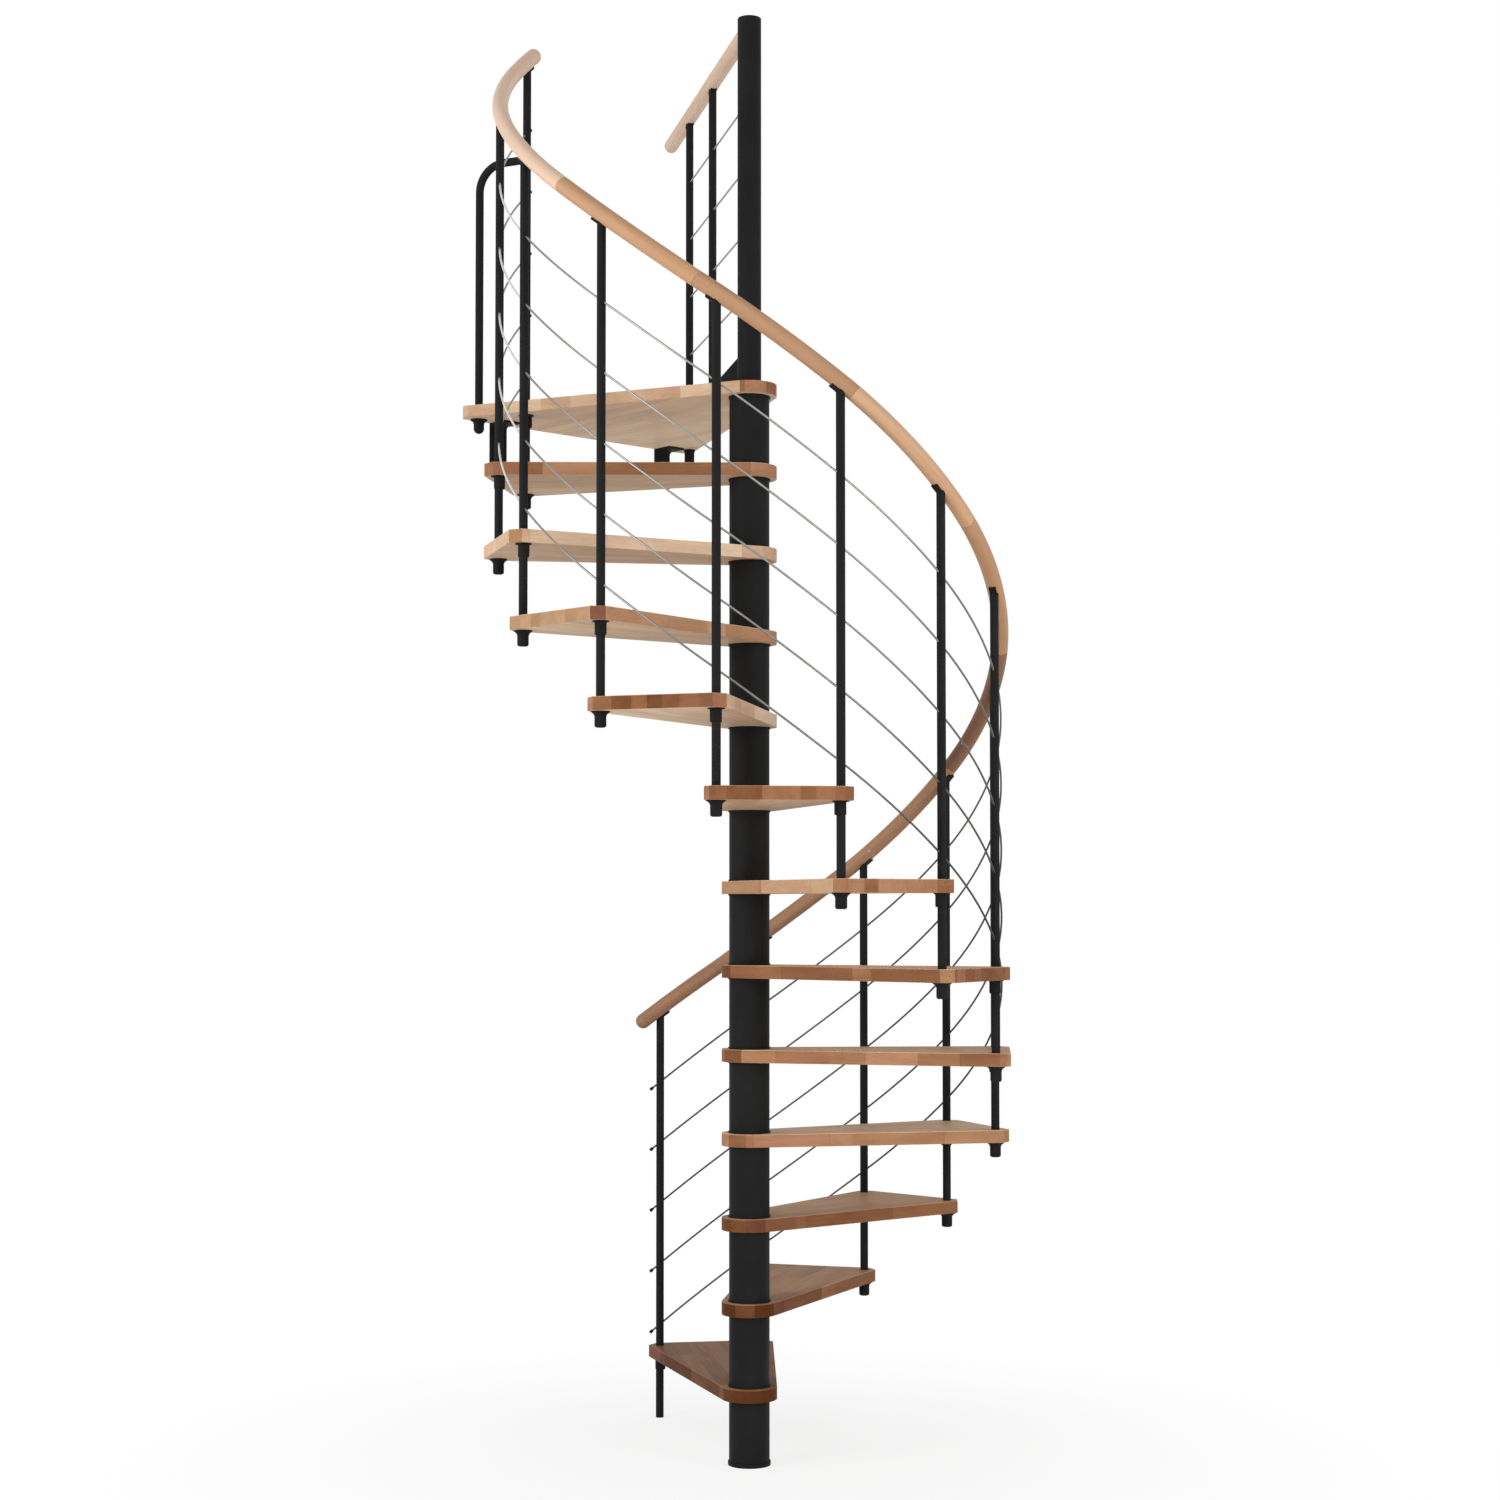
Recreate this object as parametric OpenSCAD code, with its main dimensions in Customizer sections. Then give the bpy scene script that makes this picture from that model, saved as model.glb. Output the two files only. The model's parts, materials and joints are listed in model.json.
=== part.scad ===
// Spiral staircase kit: twelve wooden treads and a landing on a steel column,
// with a curved handrail, drilled balusters and thin guard rods.
// Origin: centre of the underside of the column's base flange. +Z up.
// -Y faces the viewer, the climb runs clockwise seen from above.

/* [Climb] */
// Height from one tread top to the next
rise = 210; // [172:1:225]
// Height of the first tread top over the floor
first_rise = 195; // [180:1:220]
// Plan angle from one baluster to the next, degrees
turn = 26.2; // [25:0.1:27.5]
// Plan angle of the first baluster, degrees from +X
start_angle = 112.75; // [90:0.25:135]
// Radius of the circle the balusters stand on
post_circle_r = 632; // [560:2:760]

/* [Column] */
// Base flange diameter
base_d = 107; // [104:1:150]
// Base flange thickness
base_t = 10; // [6:1:16]
// Anchor hole diameter in the base flange
anchor_d = 9; // [6:0.5:11]
// Core tube and newel diameter
core_d = 60.3; // [50:0.1:72.4]
// Core tube and newel wall
core_wall = 3.5; // [2:0.5:6]
// Spacer sleeve diameter
sleeve_d = 101.6; // [96:0.1:103]
// Spacer sleeve wall
sleeve_wall = 3; // [2:0.5:3.5]
// How far the lips at the sleeve ends stand out
lip_out = 2.4; // [1:0.1:4]
// Height of a sleeve's end lip
lip_h = 4; // [2:0.5:8]

/* [Treads] */
// Tread thickness
tread_t = 32; // [26:1:45]
// Hub radius of treads and landing
hub_r = 69.5; // [62:0.5:80]
// Distance from the line of two balusters to the tread's outer edge
edge_in = 36.5; // [24:0.5:60]
// Distance from a baluster axis to the side of its tread
side_in = 27.4; // [15:0.1:32]
// Cut on the outer corners of treads and landing
corner_cut = 28; // [8:1:30]

/* [Landing] */
// Landing thickness
landing_t = 30; // [26:1:45]
// How far the exit edge lies past the baluster circle
exit_past = 85; // [70:1:160]
// Half angle between the landing's sides, degrees
landing_half = 24.8; // [23:0.1:26]
// Plan angle from the last baluster to the landing's middle line, degrees
landing_turn = 26.85; // [26:0.05:28]

/* [Balusters] */
// Baluster diameter
post_d = 21.3; // [18:0.1:24]
// Baluster wall
post_wall = 2; // [1.5:0.5:3]
// Flange diameter of the collars under the treads
collar_d = 40; // [36:1:46]
// Length of the collar under the upper tread
collar_h = 33; // [20:1:40]
// Flange diameter of the end caps under the treads
cap_d = 45; // [40:1:48]
// Length of the end cap under the lower tread
cap_h = 38; // [28:1:50]

/* [Handrail] */
// Handrail diameter
rail_d = 40; // [34:1:48]
// Underside of the handrail over the tread at its baluster
rail_h = 914; // [880:1:1000]
// Share of its sag that the handrail keeps; at 0 it follows a true helix
rail_sag = 1; // [0:0.1:1]
// Hairline left at the handrail joints
rail_joint = 0.9; // [0.8:0.1:1.5]

/* [Guard rods] */
// Rod diameter
rod_d = 5; // [4:0.5:6]
// Height of the lowest rod over the tread
rod_low = 57; // [45:1:80]
// Spacing of the rods
rod_gap = 165; // [140:1:172]
// Rod length past the first baluster
rod_tail = 33; // [22:1:60]

/* [Landing guard] */
// Newel height past the top of the landing handrail
newel_past = 0; // [0:1:60]
// Distance from the outer guard post to the exit edge
guard_exit_in = 55; // [30:1:90]
// Distance from the outer guard post to the landing's side
guard_side_in = 21; // [18:1:30]
// Distance between the guard posts
guard_pitch = 309; // [200:1:340]
// Underside of the landing handrail over the landing
guard_h = 900; // [880:1:910]
// Flange diameter of the end cap under the outer guard post
guard_cap_d = 32; // [32:1:42]
// Depth to which the inner guard post stands in the landing
guard_seat = 22; // [14:1:23]
// Landing handrail length past the outer guard post
guard_tail = 270; // [60:1:300]
// Lowest landing rod over the landing
guard_low = 73; // [50:1:90]
// Hoop height over the landing
hoop_h = 650; // [500:1:800]
// Distance from the hoop's leg to the exit edge
hoop_exit_in = 22; // [16:1:40]
// Distance from the hoop's leg to the landing's side
hoop_side_in = 49; // [20:1:55]

/* [Fixing brackets] */
// Bracket width
bracket_w = 54; // [40:1:70]
// Bracket leg under the landing
bracket_leg = 68; // [50:1:90]
// Bracket flange height
bracket_drop = 108; // [90:1:140]
// Bracket hole diameter
bracket_hole = 9; // [6:0.5:11]

/* [Fits] */
// Clearance round posts and tubes in their holes
fit = 0.2; // [0.1:0.05:0.4]

/* [Hidden] */
$fn = 64;
treads = 12;
rods = 5;
anchors = 4;
core_r = core_d/2;
post_r = post_d/2;
rail_r = rail_d/2;
half = turn/2;
anchor_pcd = (core_d + sleeve_d)/2 - sleeve_wall;
tread_reach = post_circle_r*cos(half) + edge_in;
landing_reach = post_circle_r + exit_past;
beta = half - asin((hub_r - side_in)/post_circle_r);
arc_per_post = post_circle_r*turn*PI/180;
slope = atan(rise/arc_per_post);
sleeve_h = rise - tread_t;
landing_z = tread_z(treads) + sleeve_h + landing_t;
landing_a = plan_a(treads) - landing_turn;
side_step = 0.1;
collar_t = 3.5;
collar_body_d = post_d + 6.5;
cap_flare = 7;
cap_edge = 3;
saddle_l = 38;
saddle_down = 4;
saddle_w = 17;
saddle_t = 4;
saddle_lip = 1.5;
rail_play = 0.3;
end_step = 0.2;
rod_play = 0.4;
rod_cut = 0.3;
rod_past = post_r + 14;
rod_cap_d = 8.5;
rod_cap_h = 9;
rod_cap_in = 6;
joint_step = 1.27;
joint_first = 0.54;
joint_last = 11.83;
rail_start = -0.18;
rail_end = 12.12;
joints = [for (j = [0:8]) joint_first + joint_step*j];
rail_stops = concat([rail_start], joints, [joint_last, rail_end]);
rail_dip = [18, 27, 27, 15, 8, 3, 5, 17, 18, 22, 29, 29.5];
guard_u = landing_reach - guard_exit_in;
guard_v = side_place(guard_u, guard_side_in);
guard_a = landing_a - atan(guard_v/guard_u);
guard_outer_r = norm([guard_u, guard_v]);
guard_inner_r = guard_outer_r - guard_pitch;
hoop_u = landing_reach - hoop_exit_in;
hoop_v = side_place(hoop_u, hoop_side_in);
hoop_a = landing_a + atan(hoop_v/hoop_u);
hoop_r = norm([hoop_u, hoop_v]);
newel_h = guard_h + rail_d + newel_past;
newel_cap_t = 3;
hoop_bend = 72;
bracket_t = 5;
bracket_at = [267, -302];
bracket_fillet = 9;
bracket_hole_up = 20;
bracket_hole_pitch = 30;
gusset_l = 135;
gusset_h = 82;
gusset_t = 6;
gusset_w = 32;

// plan angle of baluster n, tread top heights, handrail and rod axis heights
function plan_a(n) = start_angle - turn*n;
function tread_z(k) = first_rise + rise*(k - 1);
function rail_z(n) = tread_z(n + 1) + rail_h + rail_r/cos(slope)
    - rail_sag*lookup(n, [for (i = [0:len(rail_stops) - 1]) [rail_stops[i], rail_dip[i]]]);
// the handrail length over baluster n, and the slope of that length
function rail_length_at(n) =
    max([for (i = [0:len(rail_stops) - 2]) if (rail_stops[i] <= n) i]);
function rail_slope(n) = let (i = rail_length_at(n), n0 = rail_stops[i],
        n1 = rail_stops[i + 1])
    atan((rail_z(n1) - rail_z(n0))/((n1 - n0)*arc_per_post));
// how far off the landing's middle line a point lies that is u along it and
// inside the landing's side by in
function side_place(u, in) = (hub_r - in + u*sin(landing_half))/cos(landing_half);
function rod_z(n, j) = tread_z(n + 1) + rod_low + rod_gap*j;
function guard_z(j) = landing_z + guard_low + rod_gap*j;
function post_bottom(n) = n == 0 ? 0
    : tread_z(n) - tread_t - collar_t - cap_h/2;
function post_top(z, s) = z - (rail_r + saddle_t)/cos(s) - post_r*tan(s) - 1;

// part to show

// ---- placing ----

module on_circle(n, z) {
    rotate([0, 0, plan_a(n)]) translate([post_circle_r, 0, z]) children();
}

module on_guard(r, z) {
    rotate([0, 0, guard_a]) translate([r, 0, z]) children();
}

// circular arc from n0 at z0 to n1 at z1, through the helix half way between
module helix_arc(n0, n1, z0, z1, r, trim) {
    h = turn*(n1 - n0)/2;
    side = post_circle_r*sin(h);
    drop = (z1 - z0)/2;
    chord = sqrt(side*side + drop*drop);
    rise_in = post_circle_r*(1 - cos(h));
    bend = (chord*chord + rise_in*rise_in)/(2*rise_in);
    span = asin(chord/bend);
    gap = trim/bend*180/PI/2;
    rotate([0, 0, plan_a((n0 + n1)/2)])
        translate([0, 0, (z0 + z1)/2])
            rotate([-atan(drop/side), 0, 0])
                translate([post_circle_r - bend, 0, 0])
                    rotate([0, 0, -span + gap])
                        rotate_extrude(angle = 2*span - 2*gap, $fn = 360)
                            translate([bend, 0]) circle(r = r, $fn = 32);
}

module tube(d, wall, h) {
    difference() {
        cylinder(d = d, h = h);
        translate([0, 0, -1]) cylinder(d = d - 2*wall, h = h + 2);
    }
}

// ---- wooden boards ----

// wedge with a round hub; half angle of its sides is a. The sides meet the
// hub a hair inside its tangents, so that the two cross cleanly.
module wedge(reach, a, t) {
    foot = hub_r - side_step;
    y = (foot + reach*sin(a))/cos(a);
    cylinder(r = hub_r, h = t, $fn = 96);
    linear_extrude(height = t) polygon([
        [-foot*sin(a), foot*cos(a)],
        [reach - corner_cut*cos(a), y - corner_cut*sin(a)],
        [reach, y - corner_cut],
        [reach, -y + corner_cut],
        [reach - corner_cut*cos(a), -y + corner_cut*sin(a)],
        [-foot*sin(a), -foot*cos(a)]]);
}

module bore(d, t) {
    translate([0, 0, -1]) cylinder(d = d + 2*fit, h = t + 2);
}

// bore of depth t from z = 0 up, closed below
module blind_bore(d, t) {
    translate([0, 0, -fit]) cylinder(d = d + 2*fit, h = t + fit + 1);
}

module tread(k) {
    color("burlywood")
    rotate([0, 0, plan_a(k - 0.5)]) translate([0, 0, tread_z(k) - tread_t])
    difference() {
        wedge(tread_reach, beta, tread_t);
        bore(core_d, tread_t);
        for (s = [-1, 1]) rotate([0, 0, s*half])
            translate([post_circle_r, 0, 0]) bore(post_d, tread_t);
    }
}

module landing() {
    color("burlywood") difference() {
        rotate([0, 0, landing_a]) translate([0, 0, landing_z - landing_t])
            wedge(landing_reach, landing_half, landing_t);
        translate([0, 0, landing_z - landing_t]) bore(core_d, landing_t);
        on_circle(treads, landing_z - landing_t) bore(post_d, landing_t);
        rotate([0, 0, hoop_a]) translate([hoop_r, 0, landing_z - landing_t])
            bore(post_d, landing_t);
        on_guard(guard_outer_r, landing_z - landing_t) bore(post_d, landing_t);
        on_guard(guard_inner_r, landing_z - guard_seat) blind_bore(post_d, guard_seat);
    }
}

// ---- column ----

module base_plate() {
    color("dimgray") difference() {
        cylinder(d = base_d, h = base_t);
        for (i = [0:anchors - 1]) rotate([0, 0, 45 + 360/anchors*i])
            translate([anchor_pcd/2, 0, -1]) cylinder(d = anchor_d, h = base_t + 2);
    }
}

module core_tube() {
    color("dimgray") translate([0, 0, base_t])
        tube(core_d, core_wall, landing_z - base_t);
}

// sleeve of height h with a lip at its top, and at its foot unless it stands
// on the base flange
module sleeve(h, foot_lip) {
    difference() {
        union() {
            cylinder(d = sleeve_d, h = h);
            translate([0, 0, h - lip_h]) cylinder(d = sleeve_d + 2*lip_out, h = lip_h);
            if (foot_lip) cylinder(d = sleeve_d + 2*lip_out, h = lip_h);
        }
        translate([0, 0, -1]) cylinder(d = sleeve_d - 2*sleeve_wall, h = h + 2);
    }
}

module column_sleeves() {
    color("dimgray") {
        translate([0, 0, base_t]) sleeve(tread_z(1) - tread_t - base_t, false);
        for (k = [1:treads]) translate([0, 0, tread_z(k)]) sleeve(sleeve_h, true);
    }
}

// ---- balusters and their fittings ----

module balusters() {
    color("dimgray") for (n = [0:treads]) difference() {
        on_circle(n, post_bottom(n)) tube(post_d, post_wall,
            post_top(rail_z(n), rail_slope(n)) - post_bottom(n));
        for (j = [0:rods - 1]) on_circle(n, rod_z(n, j))
            rotate([90 - slope, 0, 0])
                cylinder(d = rod_d + 2*rod_play, h = 3*post_d, center = true);
    }
}

// flanged sleeve, seated upwards against z = 0
module collar() {
    difference() {
        union() {
            translate([0, 0, -collar_t]) cylinder(d = collar_d, h = collar_t);
            translate([0, 0, -collar_h])
                cylinder(d1 = post_d + 4, d2 = collar_body_d, h = collar_h);
        }
        translate([0, 0, -collar_h - 1])
            cylinder(d = post_d + 2*fit, h = collar_h + 2);
    }
}

// cap with a flange of diameter d and a flared neck, seated upwards against
// z = 0; its end is flat with a broken edge, or a full dome
module end_cap(d, domed = false) {
    end = domed ? collar_body_d/2 : cap_edge;
    difference() {
        union() {
            translate([0, 0, -collar_t]) cylinder(d = d, h = collar_t);
            translate([0, 0, -collar_t - cap_flare])
                cylinder(d1 = collar_body_d, d2 = d - collar_t, h = cap_flare);
            translate([0, 0, -cap_h + end])
                cylinder(d = collar_body_d, h = cap_h - end);
            if (domed) translate([0, 0, -cap_h + end]) sphere(d = collar_body_d);
            else translate([0, 0, -cap_h])
                cylinder(d1 = collar_body_d - 2*end, d2 = collar_body_d, h = end);
        }
        translate([0, 0, -collar_t - cap_h/2])
            cylinder(d = post_d + 2*fit, h = cap_h);
    }
}

module post_collars() {
    color("dimgray") for (n = [0:treads])
        on_circle(n, (n == treads ? landing_z - landing_t : tread_z(n + 1) - tread_t))
            collar();
}

module post_end_caps() {
    color("dimgray") for (n = [1:treads])
        on_circle(n, tread_z(n) - tread_t) end_cap(cap_d);
}

// blank saddle under a handrail whose axis is at z = 0 and slopes by s, its
// plate set down the slope by down
module saddle_blank(s, down = 0) {
    base_z = post_top(0, s);
    rotate([-s, 0, 0])
        translate([-saddle_w/2, down - saddle_l/2, -rail_r - saddle_t])
            cube([saddle_w, saddle_l, saddle_t + saddle_lip]);
    translate([0, 0, base_z]) cylinder(d = post_d, h = -base_z - rail_r/2);
}

// each saddle is grooved by the length of handrail that lies on it
module handrail_saddles() {
    color("dimgray") for (n = [0:treads]) {
        i = rail_length_at(n);
        n0 = rail_stops[i];
        n1 = rail_stops[i + 1];
        difference() {
            on_circle(n, rail_z(n)) saddle_blank(rail_slope(n), saddle_down);
            helix_arc(n0, n1, rail_z(n0), rail_z(n1), rail_r + rail_play, 0);
        }
    }
}

module handrail() {
    last = len(rail_stops) - 1;
    color("wheat") for (i = [0:last - 1]) {
        n0 = rail_stops[i];
        n1 = rail_stops[i + 1];
        union() {
            helix_arc(n0, n1, rail_z(n0), rail_z(n1), rail_r, rail_joint);
            if (i == 0) on_circle(n0, rail_z(n0)) sphere(r = rail_r - end_step);
            if (i == last - 1) on_circle(n1, rail_z(n1)) sphere(r = rail_r - end_step);
        }
    }
}

// ---- guard rods on the climb ----

function rod_n0() = -rod_tail*cos(slope)/arc_per_post;
function rod_n1() = treads + rod_past*cos(slope)/arc_per_post;

module guard_rod(j) {
    color("silver") for (i = [0:treads - 1]) {
        n0 = i == 0 ? rod_n0() : i;
        n1 = i == treads - 1 ? rod_n1() : i + 1;
        helix_arc(n0, n1, rod_z(n0, j), rod_z(n1, j), rod_d/2, rod_cut);
    }
}

// cup over a rod end; up is the way out of the rod
module rod_cap() {
    difference() {
        translate([0, 0, -rod_cap_in]) cylinder(d = rod_cap_d, h = rod_cap_h);
        translate([0, 0, -rod_cap_in - 1])
            cylinder(d = rod_d + 2*rod_play, h = rod_cap_in + 1 + fit);
    }
}

module rod_end_caps() {
    color("dimgray") for (j = [0:rods - 1]) {
        on_circle(rod_n0(), rod_z(rod_n0(), j)) rotate([-90 - slope, 0, 0]) rod_cap();
        on_circle(rod_n1(), rod_z(rod_n1(), j)) rotate([90 - slope, 0, 0]) rod_cap();
        on_guard(guard_outer_r + rod_past, guard_z(j)) rotate([0, 90, 0]) rod_cap();
    }
}

// ---- landing guard ----

module newel_post() {
    color("dimgray") difference() {
        translate([0, 0, landing_z]) tube(core_d, core_wall, newel_h);
        for (j = [0:rods - 1]) on_guard(core_r, guard_z(j)) rotate([0, 90, 0])
            cylinder(d = rod_d + 2*rod_play, h = 4*core_wall, center = true);
    }
}

module newel_cap() {
    color("dimgray") translate([0, 0, landing_z + newel_h])
        cylinder(d = core_d, h = newel_cap_t);
}

// triangular web on a foot strip, along the landing's middle line
module newel_gusset() {
    foot_t = 5;
    color("dimgray") rotate([0, 0, landing_a]) translate([core_r + fit, 0, landing_z]) {
        translate([0, -gusset_w/2, 0]) cube([gusset_l, gusset_w, foot_t]);
        translate([0, gusset_t/2, 0]) rotate([90, 0, 0]) linear_extrude(height = gusset_t)
            polygon([[0, 0], [gusset_l, 0], [gusset_l, foot_t], [4, gusset_h],
                [0, gusset_h]]);
    }
}

// guard post at radius r whose foot is at height bottom
module guard_post(r, bottom) {
    difference() {
        on_guard(r, bottom)
            tube(post_d, post_wall, post_top(landing_z + guard_h + rail_r, 0) - bottom);
        for (j = [0:rods - 1]) on_guard(r, guard_z(j)) rotate([0, 90, 0])
            cylinder(d = rod_d + 2*rod_play, h = 3*post_d, center = true);
    }
}

// the inner post stands in the landing, the outer one goes through it
module guard_posts() {
    color("dimgray") {
        guard_post(guard_inner_r, landing_z - guard_seat);
        guard_post(guard_outer_r, landing_z - landing_t - collar_t - cap_h/2);
    }
}

module guard_handrail() {
    start = core_r + rail_play;
    color("wheat") difference() {
        union() {
            on_guard(0, landing_z + guard_h + rail_r) rotate([0, 90, 0])
                cylinder(r = rail_r, h = guard_outer_r + guard_tail);
            on_guard(guard_outer_r + guard_tail, landing_z + guard_h + rail_r)
                sphere(r = rail_r - end_step);
        }
        translate([0, 0, landing_z + guard_h - 1])
            cylinder(r = start, h = rail_d + 2);
    }
}

module guard_saddles() {
    color("dimgray") for (r = [guard_inner_r, guard_outer_r])
        on_guard(r, landing_z + guard_h + rail_r) rotate([0, 0, 90]) difference() {
            saddle_blank(0);
            rotate([90, 0, 0])
                cylinder(r = rail_r + rail_play, h = 3*saddle_l, center = true);
        }
}

module guard_post_caps() {
    color("dimgray") {
        on_guard(guard_outer_r, landing_z - landing_t) end_cap(guard_cap_d);
        rotate([0, 0, hoop_a]) translate([hoop_r, 0, landing_z - landing_t])
            end_cap(cap_d, domed = true);
    }
}

module landing_rods() {
    inside = 6;
    color("silver") for (j = [0:rods - 1])
        on_guard(core_r - inside, guard_z(j)) rotate([0, 90, 0])
            cylinder(d = rod_d, h = guard_outer_r + rod_past - core_r + inside);
}

// hoop: a leg through the landing, bent over to meet the last baluster
module landing_hoop() {
    bottom = landing_z - landing_t - collar_t - cap_h/2;
    top = landing_z + hoop_h;
    leg = [hoop_r*cos(hoop_a), hoop_r*sin(hoop_a)];
    last = [post_circle_r*cos(plan_a(treads)), post_circle_r*sin(plan_a(treads))];
    run = norm(last - leg);
    aim = atan2(last[1] - leg[1], last[0] - leg[0]);
    color("dimgray") translate([leg[0], leg[1], 0]) rotate([0, 0, aim]) difference() {
        union() {
            translate([0, 0, bottom]) tube(post_d, post_wall, top - hoop_bend - bottom);
            translate([hoop_bend, 0, top - hoop_bend]) rotate([90, 0, 0])
                rotate([0, 0, 90]) rotate_extrude(angle = 90) translate([hoop_bend, 0])
                    difference() {
                        circle(r = post_r);
                        circle(r = post_r - post_wall);
                    }
            translate([hoop_bend, 0, top]) rotate([0, 90, 0])
                tube(post_d, post_wall, run - hoop_bend);
        }
        translate([run, 0, top - post_d])
            cylinder(r = post_r + fit, h = 2*post_d);
    }
}

// ---- fixing brackets to the upper floor ----

// angle with a rounded inner corner and two holes one over the other; its outer
// corner is on the Y axis, its leg points to -X and its flange down
module bracket() {
    round_at = -bracket_t - bracket_fillet;
    difference() {
        union() {
            translate([-bracket_leg, 0, -bracket_t])
                cube([bracket_leg, bracket_w, bracket_t]);
            translate([-bracket_t, 0, -bracket_drop])
                cube([bracket_t, bracket_w, bracket_drop]);
            translate([round_at, 0, round_at])
                cube([bracket_fillet, bracket_w, bracket_fillet]);
        }
        translate([round_at, -1, round_at]) rotate([-90, 0, 0])
            cylinder(r = bracket_fillet, h = bracket_w + 2);
        for (up = [bracket_hole_up, bracket_hole_up + bracket_hole_pitch])
            translate([-2*bracket_t, bracket_w/4, -bracket_drop + up])
                rotate([0, 90, 0]) cylinder(d = bracket_hole, h = 3*bracket_t);
    }
}

module slab_brackets() {
    color("dimgray") rotate([0, 0, landing_a]) for (y = bracket_at)
        translate([landing_reach, y - bracket_w/2, landing_z - landing_t]) bracket();
}

module tread_01() { tread(1); }
module tread_02() { tread(2); }
module tread_03() { tread(3); }
module tread_04() { tread(4); }
module tread_05() { tread(5); }
module tread_06() { tread(6); }
module tread_07() { tread(7); }
module tread_08() { tread(8); }
module tread_09() { tread(9); }
module tread_10() { tread(10); }
module tread_11() { tread(11); }
module tread_12() { tread(12); }
module guard_rod_1() { guard_rod(0); }
module guard_rod_2() { guard_rod(1); }
module guard_rod_3() { guard_rod(2); }
module guard_rod_4() { guard_rod(3); }
module guard_rod_5() { guard_rod(4); }

base_plate();
core_tube();
column_sleeves();
tread_01();
tread_02();
tread_03();
tread_04();
tread_05();
tread_06();
tread_07();
tread_08();
tread_09();
tread_10();
tread_11();
tread_12();
landing();
balusters();
post_collars();
post_end_caps();
handrail();
handrail_saddles();
guard_rod_1();
guard_rod_2();
guard_rod_3();
guard_rod_4();
guard_rod_5();
rod_end_caps();
newel_post();
newel_cap();
newel_gusset();
guard_posts();
guard_handrail();
guard_saddles();
guard_post_caps();
landing_rods();
landing_hoop();
slab_brackets();
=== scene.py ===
"""Spiral staircase: boards, handrail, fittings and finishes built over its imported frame."""

import json
import math
from contextlib import contextmanager

import bmesh
import bpy
from bpy.props import FloatProperty, FloatVectorProperty, PointerProperty
from mathutils import Matrix, Vector

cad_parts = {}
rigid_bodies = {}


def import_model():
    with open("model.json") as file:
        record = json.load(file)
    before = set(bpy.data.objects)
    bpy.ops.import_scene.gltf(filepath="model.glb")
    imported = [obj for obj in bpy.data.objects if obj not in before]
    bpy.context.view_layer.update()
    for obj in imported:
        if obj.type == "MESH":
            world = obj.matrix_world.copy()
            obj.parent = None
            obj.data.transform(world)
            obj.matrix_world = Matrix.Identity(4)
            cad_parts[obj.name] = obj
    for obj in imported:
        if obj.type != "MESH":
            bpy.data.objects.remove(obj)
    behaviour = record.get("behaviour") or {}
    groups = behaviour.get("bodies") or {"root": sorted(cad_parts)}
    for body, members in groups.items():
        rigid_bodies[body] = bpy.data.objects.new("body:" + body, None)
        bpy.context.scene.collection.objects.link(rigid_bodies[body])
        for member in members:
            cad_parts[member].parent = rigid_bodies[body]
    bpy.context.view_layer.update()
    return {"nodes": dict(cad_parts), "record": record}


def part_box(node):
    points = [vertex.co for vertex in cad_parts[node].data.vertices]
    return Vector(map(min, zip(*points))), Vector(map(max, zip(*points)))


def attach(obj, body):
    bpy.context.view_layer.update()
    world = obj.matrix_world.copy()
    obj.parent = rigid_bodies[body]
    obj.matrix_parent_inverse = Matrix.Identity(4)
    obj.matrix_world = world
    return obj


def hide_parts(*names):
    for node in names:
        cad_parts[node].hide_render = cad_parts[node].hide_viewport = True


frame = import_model()

bl_info = {
    "name": "Spiral staircase",
    "version": (1, 0, 0),
    "blender": (4, 5, 0),
    "location": "3D View > Sidebar > Stair",
    "description": "Builds the finished boards, handrail and fittings of a spiral staircase",
    "category": "Object",
}

TREADS = 12


def tint(red, green, blue):
    """A display colour, 0 to 255, as the linear colour that a shader takes."""
    def linear(v):
        v /= 255
        return v / 12.92 if v <= 0.04045 else ((v + 0.055) / 1.055) ** 2.4
    return (linear(red), linear(green), linear(blue))


def length(name, description, default):
    """A length property in metres."""
    return FloatProperty(name=name, description=description, default=default,
                         min=0.0, precision=4, unit="LENGTH", subtype="DISTANCE")


def angle(name, description, degrees):
    """An angle property, given in degrees."""
    return FloatProperty(name=name, description=description,
                         default=math.radians(degrees), subtype="ANGLE")


def colour(name, description, *display):
    """A colour property, given as a display colour."""
    return FloatVectorProperty(name=name, description=description, default=tint(*display),
                               min=0.0, max=1.0, size=3, subtype="COLOR")


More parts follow.
